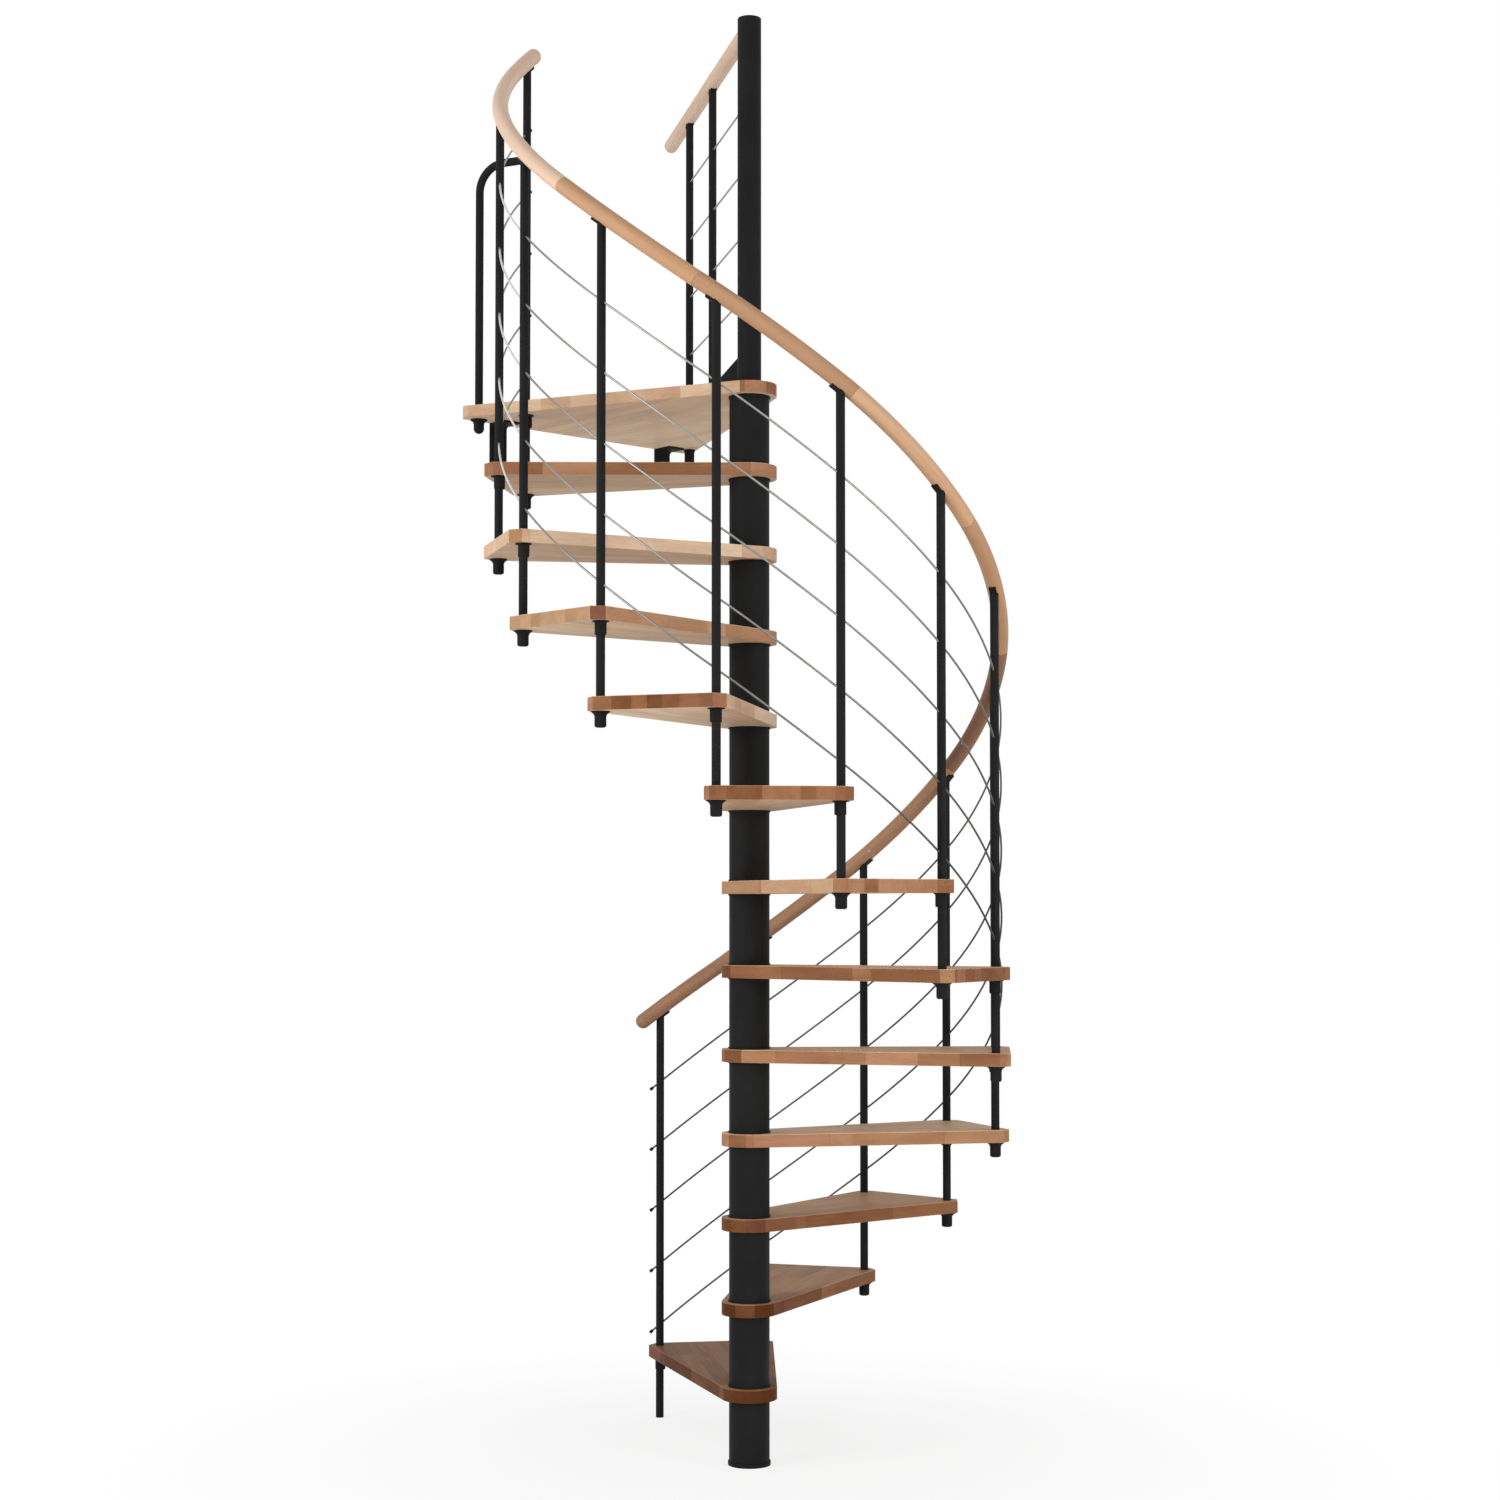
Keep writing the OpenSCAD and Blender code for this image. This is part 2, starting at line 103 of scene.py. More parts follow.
class StairSizes(bpy.types.PropertyGroup):
    """Sizes that the finished pieces share with the frame, and the fine sizes they add."""

    circle_r: length("Baluster circle", "Radius of the circle the balusters stand on", 0.632)
    turn: angle("Turn", "Plan angle from one baluster to the next", 26.2)
    start: angle("Start", "Plan angle of the first baluster", 112.75)
    landing_a: angle("Landing", "Plan angle of the landing's middle line", 131.5)
    guard_a: angle("Landing guard", "Plan angle of the landing handrail", 103.0)
    hub_r: length("Hub", "Hub radius of treads and landing", 0.0695)
    post_d: length("Baluster", "Baluster diameter", 0.0213)
    core_d: length("Newel", "Newel tube diameter", 0.0603)
    rail_d: length("Handrail", "Handrail diameter", 0.040)
    rail_h: length("Handrail height", "Underside of the handrail over a tread", 0.914)
    rail_sag: FloatProperty(name="Handrail sag", default=1.0, min=0.0, max=1.0,
                            description="Share of its sag that the handrail keeps")
    rail_gap: length("Handrail joint", "Open joint between two handrail lengths", 0.0003)
    rail_ease: length("Joint ease", "Eased edge at the handrail joints", 0.0008)
    rail_dome: length("Handrail dome", "Length of the rounded handrail ends", 0.0185)
    board_ease: length("Board ease", "Radius of the eased board edges", 0.0028)
    collar_d: length("Collar flange", "Flange diameter of the collars", 0.040)
    collar_h: length("Collar", "Length of the collar under an upper tread", 0.033)
    collar_shift: length("Collar shift", "How far a collar's body sits off its baluster", 0.0019)
    cap_d: length("Cap flange", "Flange diameter of the end caps", 0.045)
    guard_cap_d: length("Guard cap flange", "Flange diameter under the guard post", 0.032)
    saddle_t: length("Saddle", "Thickness of the saddle plates", 0.004)
    cap_h: length("End cap", "Length of the end cap under a lower tread", 0.038)
    screw_d: length("Screw", "Head diameter of the countersunk screws", 0.0070)
    stave: length("Stave", "Width of the glued staves in a board", 0.042)
    finger: length("Stave length", "Length between the finger joints of a stave", 0.34)


class StairColours(bpy.types.PropertyGroup):
    """Colours of the finishes."""

    cream: colour("Cream beech", "Palest blocks of the boards", 224, 197, 168)
    straw: colour("Straw beech", "Pale blocks of the boards", 178, 136, 101)
    brown: colour("Brown beech", "Brown blocks of the boards", 134, 90, 59)
    umber: colour("Umber beech", "Darkest blocks of the boards", 82, 43, 17)
    grey_cream: colour("Grey cream", "Palest blocks of the broad faces", 232, 204, 174)
    grey_straw: colour("Grey straw", "Pale blocks of the broad faces", 190, 154, 120)
    grey_brown: colour("Grey brown", "Brown blocks of the broad faces", 148, 110, 78)
    grey_umber: colour("Grey umber", "Darkest blocks of the broad faces", 100, 66, 38)
    rail_pale: colour("Pale handrail", "Palest lengths of the handrail", 228, 198, 174)
    rail_mid: colour("Warm handrail", "Common lengths of the handrail", 191, 149, 113)
    rail_dark: colour("Brown handrail", "Brownest lengths of the handrail", 122, 88, 70)
    black: colour("Powder coat", "Black powder coat on the steel", 25, 25, 25)
    plastic: colour("Fittings", "Black moulded fittings", 24, 24, 24)
    steel: colour("Guard rods", "Ground stainless steel of the rods", 152, 150, 146)
    zinc: colour("Screws", "Bright zinc of the screws", 190, 190, 192)


def sizes():
    return bpy.context.scene.stair_sizes


def colours():
    return bpy.context.scene.stair_colours


# ---- shader building ----


class Wire:
    """A socket of a finish. Arithmetic on wires adds Math nodes."""

    def __init__(self, finish, socket):
        self.finish, self.socket = finish, socket

    def __add__(self, other):
        return self.finish.math("ADD", self, other)

    __radd__ = __add__

    def __sub__(self, other):
        return self.finish.math("SUBTRACT", self, other)

    def __rsub__(self, other):
        return self.finish.math("SUBTRACT", other, self)

    def __mul__(self, other):
        return self.finish.math("MULTIPLY", self, other)

    __rmul__ = __mul__

    def __truediv__(self, other):
        return self.finish.math("DIVIDE", self, other)


class Finish:
    """One material's shader, or its owner's where one is given, built node by node."""

    def __init__(self, name, owner=None):
        self.material = owner or bpy.data.materials.new(name)
        self.material.use_nodes = True
        self.tree = self.material.node_tree
        self.tree.nodes.clear()

    def node(self, kind, settings=None, values=None):
        """A node of this type, with its settings made before its sockets are fed."""
        made = self.tree.nodes.new(kind)
        for name, value in (settings or {}).items():
            if name == "stops":
                self.set_stops(made.color_ramp.elements, value)
            else:
                setattr(made, name, value)
        for name, value in (values or {}).items():
            if isinstance(value, Wire):
                self.tree.links.new(value.socket, made.inputs[name])
            else:
                made.inputs[name].default_value = value
        return made

    @staticmethod
    def set_stops(elements, stops):
        """These colours, evenly spaced over a ramp."""
        elements[0].color, elements[-1].color = (*stops[0], 1.0), (*stops[-1], 1.0)
        for i, stop in enumerate(stops[1:-1], 1):
            elements.new(i / (len(stops) - 1)).color = (*stop, 1.0)

    def wire(self, node, output=0):
        return Wire(self, node.outputs[output])

    def ramp(self, value, *stops):
        """The colour at this value, 0 at the first stop and 1 at the last."""
        return self.wire(self.node("ShaderNodeValToRGB", {"stops": stops}, {"Fac": value}))

    def math(self, operation, *values):
        return self.wire(self.node("ShaderNodeMath", {"operation": operation},
                                   dict(enumerate(values))))

    def mix(self, first, second, share):
        """From the first colour to the second."""
        first, second = (c if isinstance(c, Wire) else (*c[:3], 1.0) for c in (first, second))
        return self.wire(self.node("ShaderNodeMix", {"data_type": "RGBA"},
                                   {0: share, 6: first, 7: second}), 2)

    def darken(self, base, amount):
        """The colour scaled down by a share that may vary."""
        return self.mix(base, (0.0, 0.0, 0.0), amount)

    def vector(self, x, y, z):
        return self.wire(self.node("ShaderNodeCombineXYZ", None, {0: x, 1: y, 2: z}))

    def split(self, vector):
        node = self.node("ShaderNodeSeparateXYZ", None, {0: vector})
        return [self.wire(node, i) for i in range(3)]

    def attribute(self, name, output):
        return self.wire(self.node("ShaderNodeAttribute", {"attribute_name": name}), output)

    def place(self):
        return self.wire(self.node("ShaderNodeTexCoord"), "Object")

    def noise(self, vector, scale, detail=2.0, rough=0.5):
        return self.wire(self.node("ShaderNodeTexNoise", {"noise_dimensions": "3D"}, {
            "Vector": vector, "Scale": scale, "Detail": detail, "Roughness": rough}), "Fac")

    def chance(self, vector):
        """Three random numbers that stay the same over each whole step of the vector."""
        node = self.node("ShaderNodeTexWhiteNoise", {"noise_dimensions": "3D"}, {"Vector": vector})
        return self.split(self.wire(node, "Color"))

    def step(self, value, low, high):
        """0 below low and 1 above high, smooth between."""
        return self.wire(self.node("ShaderNodeMapRange", {"interpolation_type": "SMOOTHSTEP"}, {
            "Value": value, "From Min": low, "From Max": high}), "Result")

    def seen(self):
        """1 where a camera, gloss or transmission ray looks, and 0 for the light itself."""
        path = self.node("ShaderNodeLightPath")
        camera, gloss, through = (self.wire(path, f"Is {kind} Ray")
                                  for kind in ("Camera", "Glossy", "Transmission"))
        return self.math("MAXIMUM", self.math("MAXIMUM", camera, gloss), through)

    def bump(self, height, depth, strength=1.0):
        return self.wire(self.node("ShaderNodeBump", None, {
            "Strength": strength, "Distance": depth, "Height": height}), "Normal")

    def surface(self, base, rough, normal=None, **constants):
        """The shader and the output. Constants go on the shader's own sockets."""
        values = {"Base Color": base, "Roughness": rough}
        if normal is not None:
            values["Normal"] = normal
        values.update({k.replace("_", " "): v for k, v in constants.items()})
        shader = self.node("ShaderNodeBsdfPrincipled", None, values)
        self.node("ShaderNodeOutputMaterial", None, {"Surface": self.wire(shader)})
        return self.material


def beech_boards():
    """Edge-glued, finger-jointed beech: staves along the board, each with its own heart, over
    colours that are partly painted light and shade.
    """
    f, c, s = Finish("beech_boards"), colours(), sizes()
    x, y, z = f.split(f.attribute("board_at", "Vector"))
    tone_and_shade, broad, edge = f.split(f.attribute("board_face", "Vector"))
    number = f.attribute("board_no", "Fac")
    across = (y + f.math("SINE", y * 37.0 + number * 2.1) * 0.005) / s.stave \
        + number * 0.37 + 40.0
    stave = f.math("FLOOR", across)
    shift = f.chance(f.vector(stave, number, 3.5))[0]
    zigzag = f.math("PINGPONG", y, 0.004) * 2.2
    block = f.math("FLOOR", (x + zigzag) / s.finger + shift * 7.0 + 40.0)
    first, second, third = f.chance(f.vector(stave, block, number))
    beside = (f.math("FRACT", across) - 0.5) * s.stave
    # growth rings about a heart of the stave's own
    wander = f.noise(f.vector(x * 3.0, y * 22.0, z * 22.0), 1.0, 2.0)
    from_heart = beside - (first - 0.5) * 0.11 - x * (second - 0.5) * 0.10
    over_heart = z + 0.012 + third * 0.05
    radius = f.math("SQRT", from_heart * from_heart + over_heart * over_heart)
    ring = f.math("POWER", f.math("FRACT", (radius + wander * 0.006) / 0.0034), 3.0)
    weight = f.noise(f.vector(x * 0.8, radius * 90.0, block * 3.0 + stave), 1.0, 1.0)
    cloud = f.noise(f.vector(x * 4.0 + number * 3.0, y * 26.0, z * 26.0), 1.0, 2.0)
    streak = f.noise(f.vector(x * 5.0, y * 150.0, z * 150.0), 1.0, 3.0, 0.6)
    fleck = f.step(f.noise(f.vector(x * 110.0, y * 900.0, z * 900.0), 1.0, 1.0), 0.62, 0.78)
    # painted light and shade: how brown each kind of face is partly stands for how the light falls
    # on it, and eased upper edges are made paler as a painted highlight
    shade = tone_and_shade + (first - 0.5) * (0.30 - broad * 0.16) + (cloud - 0.5) * 0.22 - edge * 0.45
    # broad faces, and the outer faces of boards 10 and 11, take a paler, greyer palette, partly
    # painted light
    base = f.mix(f.ramp(shade, c.cream, c.straw, c.brown, c.umber),
                 f.ramp(shade, c.grey_cream, c.grey_straw, c.grey_brown, c.grey_umber), broad)
    base = f.mix(base, f.mix(base, tint(196, 140, 116), 0.5), f.step(third, 0.45, 1.0) * 0.40)
    base = f.darken(base, ring * f.step(weight, 0.35, 0.75) * 0.24 + (streak - 0.5) * 0.46
                    + fleck * 0.05)
    # glue lines between staves and blocks
    seam = f.math("ABSOLUTE", f.math("FRACT", across) - 0.5)
    base = f.darken(base, f.step(seam, 0.4935, 0.4985) * 0.22)
    height = streak * 0.5 - ring * 0.35 - fleck * 0.4
    return f.surface(base, 0.46 + streak * 0.14, f.bump(height, 0.00012, 0.4),
                     Coat_Weight=0.02, Coat_Roughness=0.3, Specular_IOR_Level=0.05)


def beech_rail():
    """Round handrail: pale beech with long grain that follows each length, the lengths' colours
    partly painted shade, darker lower down.
    """
    f, c = Finish("beech_rail"), colours()
    along, u, v = f.split(f.attribute("rail_at", "Vector"))
    number = f.attribute("rail_no", "Fac")
    tone_and_shade = f.attribute("rail_tone", "Fac")
    joint = f.attribute("rail_joint", "Fac")
    first, second, third = f.chance(f.vector(number, 2.5, 7.5))
    heart_u = u + (first - 0.5) * 0.05 + along * (second - 0.5) * 0.03
    heart_v = v + 0.03 + third * 0.03
    radius = f.math("SQRT", heart_u * heart_u + heart_v * heart_v)
    wander = f.noise(f.vector(along * 2.0 + number * 9.0, u * 26.0, v * 26.0), 1.0, 2.0)
    ring = f.math("POWER", f.math("FRACT", (radius + wander * 0.005) / 0.0052), 3.0)
    patch = f.noise(f.vector(along * 2.4 + number * 5.0, u * 30.0, v * 30.0), 1.0, 2.0, 0.5)
    streak = f.noise(f.vector(along * 4.0 + number * 3.0, u * 150.0, v * 150.0), 1.0, 2.0, 0.5)
    # each length's colour is partly the wood's own and partly painted shade, darker on the lower
    # lengths
    base = f.ramp(tone_and_shade + (patch - 0.5) * 0.34, c.rail_pale, c.rail_mid, c.rail_dark)
    base = f.darken(base, ring * 0.06 + (streak - 0.5) * 0.20)
    base = f.darken(base, joint * 0.75)
    return f.surface(base, 0.44 + streak * 0.10, f.bump(streak * 0.5 - ring * 0.2, 0.0001, 0.25),
                     Coat_Weight=0.04, Coat_Roughness=0.3, Specular_IOR_Level=0.10)


def powder_coat():
    """Black powder coat: satin with a fine orange peel."""
    f, c = Finish("powder_coat"), colours()
    at = f.place()
    cloud = f.noise(at, 7.0, 3.0)
    peel = f.noise(at, 420.0, 1.0)
    base = f.mix(c.black, [v * 0.75 for v in c.black], f.step(cloud, 0.3, 0.7))
    return f.surface(base, 0.56 + cloud * 0.10 + (peel - 0.5) * 0.05,
                     f.bump(peel, 0.00002, 0.08), Specular_IOR_Level=0.09)


def moulded():
    """Black moulded plastic: matt, with a faint spark-eroded grain."""
    f, c = Finish("moulded_black"), colours()
    at = f.place()
    grain = f.noise(at, 1100.0, 2.0)
    cloud = f.noise(at, 14.0, 2.0)
    base = f.mix(c.plastic, [v * 0.7 for v in c.plastic], f.step(cloud, 0.3, 0.7))
    return f.surface(base, 0.60 + (grain - 0.5) * 0.12, f.bump(grain, 0.00003, 0.3),
                     Specular_IOR_Level=0.08)


def ground_steel():
    """Ground stainless steel of the guard rods, with painted shade towards the bottom and a
    painted highlight on the rods of the last bay but one.
    """
    f, c = Finish("ground_steel"), colours()
    at = f.place()
    line = f.noise(at, 900.0, 2.0, 0.7)
    cloud = f.noise(at, 16.0, 2.0)
    x, y, z = f.split(at)
    # painted shade: the rods are darkened towards the bottom, standing for the darker light and
    # reflections low down
    low = 1.0 - f.step(z, 1.3, 2.5)
    # painted highlight: the curved rods of the last bay but one face the light, so they are
    # painted paler and less metallic
    painted_highlight = (1.0 - f.step(x, -0.555, -0.535)) * (1.0 - f.step(y, -0.09, -0.05)) \
        * f.step(z, 1.9, 2.1)
    base = f.mix(c.steel, [v * 0.78 for v in c.steel], f.step(line * 0.6 + cloud * 0.4, 0.3, 0.7))
    base = f.darken(base, low * 0.72)
    base = f.mix(base, (0.9, 0.9, 0.9), painted_highlight * 0.6)
    return f.surface(base, 0.26 + line * 0.16, f.bump(line, 0.00002, 0.3),
                     Metallic=1.0 - painted_highlight * 0.7)


def zinc():
    """Bright zinc of the screws."""
    f, c = Finish("bright_zinc"), colours()
    cloud = f.noise(f.place(), 420.0, 2.0)
    base = f.mix(c.zinc, [v * 0.7 for v in c.zinc], f.step(cloud, 0.3, 0.7))
    return f.surface(base, 0.30 + cloud * 0.15, None, Metallic=1.0)


def finish(name):
    """A finish by name, made once."""
    makers = {"beech_boards": beech_boards, "beech_rail": beech_rail, "powder_coat": powder_coat,
              "moulded_black": moulded, "ground_steel": ground_steel, "bright_zinc": zinc}
    return bpy.data.materials.get(name) or makers[name]()


def dress(piece, name):
    """The piece, or CAD node, with this finish alone."""
    slots = piece.material_slots
    if not slots:
        piece.data.materials.append(finish(name))
        return
    for slot in slots:
        slot.material = finish(name)


# ---- modelling ----


def only(*pieces):
    """Selects these pieces and nothing else."""
    bpy.ops.object.select_all(action="DESELECT")
    for piece in pieces:
        piece.select_set(True)
    bpy.context.view_layer.objects.active = pieces[0]


@contextmanager
def editing(piece, mode="VERT"):
    """Edit mode on one piece, with all of it deselected."""
    only(piece)
    bpy.ops.object.mode_set(mode="EDIT")
    bpy.ops.mesh.select_mode(type=mode)
    bpy.ops.mesh.select_all(action="DESELECT")
    yield
    bpy.ops.object.mode_set(mode="OBJECT")


def pick(piece, kind, test):
    """Selects the verts, edges or faces that pass the test, in edit mode."""
    work = bmesh.from_edit_mesh(piece.data)
    for item in getattr(work, kind):
        item.select_set(bool(test(item)))
    work.select_flush_mode()
    bmesh.update_edit_mesh(piece.data)


def settle(piece, name, shade=35.0):
    """Closes seams, turns faces outwards, puts the piece's place in its mesh and shades it."""
    piece.name = piece.data.name = name
    with editing(piece):
        bpy.ops.mesh.select_all(action="SELECT")
        bpy.ops.mesh.remove_doubles(threshold=0.00001)
        bpy.ops.mesh.normals_make_consistent(inside=False)
    only(piece)
    bpy.ops.object.transform_apply(location=True, rotation=True, scale=True)
    bpy.ops.object.shade_smooth_by_angle(angle=math.radians(shade))
    return piece


def apply_modifier(piece, kind, **settings):
    """Adds a modifier with these settings and applies it."""
    only(piece)
    modifier = piece.modifiers.new(kind.title(), kind)
    for name, value in settings.items():
        setattr(modifier, name, value)
    bpy.ops.object.modifier_apply(modifier=modifier.name)


def ease(piece, width, segments=2, degrees=30.0):
    """Rounds the edges that are sharper than the angle."""
    apply_modifier(piece, "BEVEL", width=width, segments=segments, limit_method="ANGLE",
                   angle_limit=math.radians(degrees), harden_normals=False)


def from_frame(node, name):
    """A merged copy of a CAD node's mesh, with its flat faces in one piece."""
    mesh = frame["nodes"][node].data.copy()
    mesh.materials.clear()
    piece = bpy.data.objects.new(name, mesh)
    bpy.context.scene.collection.objects.link(piece)
    only(piece)
    bpy.ops.mesh.customdata_custom_splitnormals_clear()
    with editing(piece):
        bpy.ops.mesh.select_all(action="SELECT")
        bpy.ops.mesh.remove_doubles(threshold=0.00001)
        bpy.ops.mesh.dissolve_limited(angle_limit=math.radians(0.4))
    return piece


def turned(name, profile, sides=32, ring=False):
    """A piece turned about +Z from (height, radius) points. A ring's last point is its first."""
    (z, r), rest = profile[0], profile[1:]
    bpy.ops.object.select_all(action="DESELECT")
    bpy.ops.mesh.primitive_circle_add(vertices=sides, radius=r, location=(0, 0, z),
                                      fill_type="NOTHING" if ring else "NGON")
    piece = bpy.context.object
    bpy.ops.object.mode_set(mode="EDIT")
    bpy.ops.mesh.select_all(action="SELECT")
    for to_z, to_r in rest:
        move = {"value": (0, 0, to_z - z)}
        if ring:
            bpy.ops.mesh.extrude_edges_move(TRANSFORM_OT_translate=move)
        else:
            bpy.ops.mesh.extrude_region_move(TRANSFORM_OT_translate=move)
        bpy.ops.transform.resize(value=(to_r / r, to_r / r, 1), center_override=(0, 0, to_z))
        z, r = to_z, to_r
    bpy.ops.object.mode_set(mode="OBJECT")
    return settle(piece, name)


def screw(name, share=1.0):
    """A countersunk screw's head with its socket, its face at z = 0 and up."""
    r = sizes().screw_d / 2 * share
    return turned(name, [(-0.0012, r * 0.55), (-0.0001, r * 0.97), (0.0003, r * 0.95),
                         (0.0006, r * 0.72), (0.0007, r * 0.50), (-0.0004, r * 0.42)], sides=18)


def set_out(piece, places, name):
    """Copies of a piece at these places, each with its own mesh, joined as one fitting set."""
    twins = []
    for place in places:
        twin = piece.copy()
        twin.data = piece.data.copy()
        bpy.context.scene.collection.objects.link(twin)
        twin.matrix_world = place
        twins.append(twin)
    only(*twins)
    bpy.ops.object.transform_apply(location=True, rotation=True, scale=True)
    bpy.ops.object.join()
    made = bpy.context.object
    made.name = made.data.name = name
    bpy.data.objects.remove(piece)
    return made


def fit(piece, material, *nodes, slot=None):
    """Gives a finished piece its finish, lets it ride and stand for its CAD nodes."""
    dress(piece, material)
    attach(piece, "root")
    if nodes:
        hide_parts(*nodes)
    return piece


def write(mesh, name, kind, domain, values):
    """Stores a named attribute on a mesh."""
    layer = mesh.attributes.new(name, kind, domain)
    layer.data.foreach_set("vector" if kind == "FLOAT_VECTOR" else "value", values)


def turn_z(by):
    return Matrix.Rotation(by, 4, "Z")


# ---- where things are ----


def plan(n):
    """Plan angle of baluster n."""
    s = sizes()
    return s.start - s.turn * n


def on_circle(n, z):
    """The place on the baluster circle at baluster n, at this height."""
    return turn_z(plan(n)) @ Matrix.Translation((sizes().circle_r, 0, z))


def tread(k):
    return f"tread_{k:02d}"


def tread_top(k):
    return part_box(tread(k))[1].z if k <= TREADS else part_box("landing")[1].z


def tread_under(k):
    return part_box(tread(k))[0].z if k <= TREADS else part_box("landing")[0].z


def rise():
    return tread_top(2) - tread_top(1)


def first_rise():
    return tread_top(1)


# the ends of the handrail lengths, counted in balusters, and how far each hangs under the helix
RAIL_STOPS = [-0.18, 0.54, 1.81, 3.08, 4.35, 5.62, 6.89, 8.16, 9.43, 10.70, 11.83, 12.12]
RAIL_DIPS = [0.018, 0.027, 0.027, 0.015, 0.008, 0.003, 0.005, 0.017, 0.018, 0.022, 0.029, 0.0295]


def rail_length_at(n):
    """Which handrail length lies over baluster n."""
    return max(i for i, stop in enumerate(RAIL_STOPS[:-1]) if stop <= n)


def rail_z(n):
    """Height of the handrail's axis at baluster n."""
    s = sizes()
    i = rail_length_at(n)
    share = (n - RAIL_STOPS[i]) / (RAIL_STOPS[i + 1] - RAIL_STOPS[i])
    dip = RAIL_DIPS[i] + share * (RAIL_DIPS[i + 1] - RAIL_DIPS[i])
    climb = math.atan(rise() / (s.circle_r * s.turn))
    return (first_rise() + rise() * n + s.rail_h + s.rail_d / 2 / math.cos(climb)
            - dip * s.rail_sag)


def rail_slope(n):
    """Pitch of the handrail length over baluster n."""
    i = rail_length_at(n)
    low, high = RAIL_STOPS[i], RAIL_STOPS[i + 1]
    along = (high - low) * sizes().circle_r * sizes().turn
    return math.atan((rail_z(high) - rail_z(low)) / along)


# how brown each handrail length is, from the lowest up: partly the wood's own colour and partly
# painted shade, the lower lengths darker
RAIL_TONES_AND_SHADE = [0.86, 0.78, 0.70, 0.92, 0.60, 0.46, 0.64, 0.50, 0.05, 0.06, 0.04]
# how brown each board is, from the lowest up, the landing last: on its outer face, cut corners,
# sides, hub and broad faces; partly the wood's own colour and partly painted light and shade, the
# lower boards browner and each kind of face lighter or darker as the light falls on it
BOARD_TONES_AND_SHADE = [
    (0.62, 0.70, 1.00, 1.14, 0.84), (0.72, 0.74, 0.78, 1.00, 0.57),
    (0.74, 0.78, 0.72, 0.86, 0.49), (0.46, 0.50, 0.46, 0.56, 0.22),
    (0.56, 0.48, 0.57, 0.86, 0.36), (0.86, 0.60, 0.80, 1.00, 0.34),
    (0.58, 0.66, 0.36, 0.36, 0.30), (0.67, 0.70, 0.60, 0.50, 0.30),
    (0.79, 0.60, 0.16, 0.17, 0.12), (0.50, 0.96, 0.38, 0.38, 0.18),
    (0.20, 0.40, 0.05, 0.10, 0.20), (0.50, 0.54, 0.58, 0.47, 0.18),
    (0.22, 0.24, 0.16, 0.61, 0.03)]
# the boards whose outer face is greyish, given the paler palette of the broad faces, partly
# painted light where these faces turn to the light
GREY_ENDS = (10, 11)
# the kinds of face, in the order of the tones
END, CORNER, SIDE, HUB, BROAD = range(5)


# ---- operators ----


class Building:
    """What every building operator shares."""

    bl_options = {"REGISTER", "UNDO"}

    def execute(self, context):
        self.build()
        return {"FINISHED"}


class STAIR_OT_boards(Building, bpy.types.Operator):
    """Build the twelve treads and the landing as eased, edge-glued beech boards"""

    bl_idname = "stair.boards"
    bl_label = "Treads and landing"

    # how far a broad face's normal leans out, how squarely ends and cut corners face outwards, how
    # far an eased upper edge looks up to take a painted highlight, and the play on the hub's
    # radius
    LEANS, END_OUT, CORNER_OUT, LOOKS_UP, HUB_PLAY = 0.30, 0.95, 0.45, 0.12, 0.0005

    def faces_of(self, piece, home):
        """What each face of a board is: end, corner, side, hub or broad face, and whether it is an
        eased upper edge that takes a painted highlight.
        """
        turned_home, hub_r = home.to_3x3(), sizes().hub_r
        kinds = []
        for p in piece.data.polygons:
            n, at = turned_home @ p.normal, home @ p.center
            flat = math.hypot(n.x, n.y)
            if flat < self.LEANS:
                kind = BROAD
            elif math.hypot(at.x, at.y) < hub_r + self.HUB_PLAY:
                kind = HUB
            elif n.x / flat > self.END_OUT:
                kind = END
            elif n.x / flat > self.CORNER_OUT:
                kind = CORNER
            else:
                kind = SIDE
            kinds.append((kind, 1.0 if kind != BROAD and n.z > self.LOOKS_UP else 0.0))
        return kinds

    def tell(self, piece, kinds, number):
        """Stores how brown each face is, partly the wood's own colour and partly painted light and
        shade, whether it is a broad one, and its eased upper edges, which take a painted
        highlight.
        """
        tones_and_shade = BOARD_TONES_AND_SHADE[number - 1]
        values = []
        for kind, edge in kinds:
            grey = 1.0 if kind == BROAD or kind == END and number in GREY_ENDS else 0.0
            values += [tones_and_shade[kind], grey, edge]
        write(piece.data, "board_face", "FLOAT_VECTOR", "FACE", values)
        write(piece.data, "board_no", "FLOAT", "POINT",
              [float(number)] * len(piece.data.vertices))

    def finished_board(self, node, heading):
        """An eased copy of a CAD board, the places of its points, and its kinds of face."""
        piece = from_frame(node, node + "_board")
        ease(piece, sizes().board_ease, 3, 25.0)
        settle(piece, node + "_board", 40.0)
        apply_modifier(piece, "WEIGHTED_NORMAL", keep_sharp=True)
        home = turn_z(-heading) @ Matrix.Translation((0, 0, -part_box(node)[0].z))
        write(piece.data, "board_at", "FLOAT_VECTOR", "POINT",
              [c for v in piece.data.vertices for c in home @ v.co])
        return piece, self.faces_of(piece, home)

    def build(self):
        first, kinds = self.finished_board(tread(1), plan(0.5))
        for k in range(2, TREADS + 1):
            piece = first.copy()
            piece.data = first.data.copy()
            bpy.context.scene.collection.objects.link(piece)
            piece.name = piece.data.name = tread(k) + "_board"
            piece.rotation_euler.z = plan(k - 0.5) - plan(0.5)
            piece.location.z = tread_under(k) - tread_under(1)
            only(piece)
            bpy.ops.object.transform_apply(location=True, rotation=True, scale=True)
        for k in range(1, TREADS + 1):
            piece = bpy.data.objects[tread(k) + "_board"]
            self.tell(piece, kinds, k)
            fit(piece, "beech_boards", tread(k), slot="tread_wood")
        landing, kinds = self.finished_board("landing", sizes().landing_a)
        self.tell(landing, kinds, TREADS + 1)
        fit(landing, "beech_boards", "landing", slot="tread_wood")


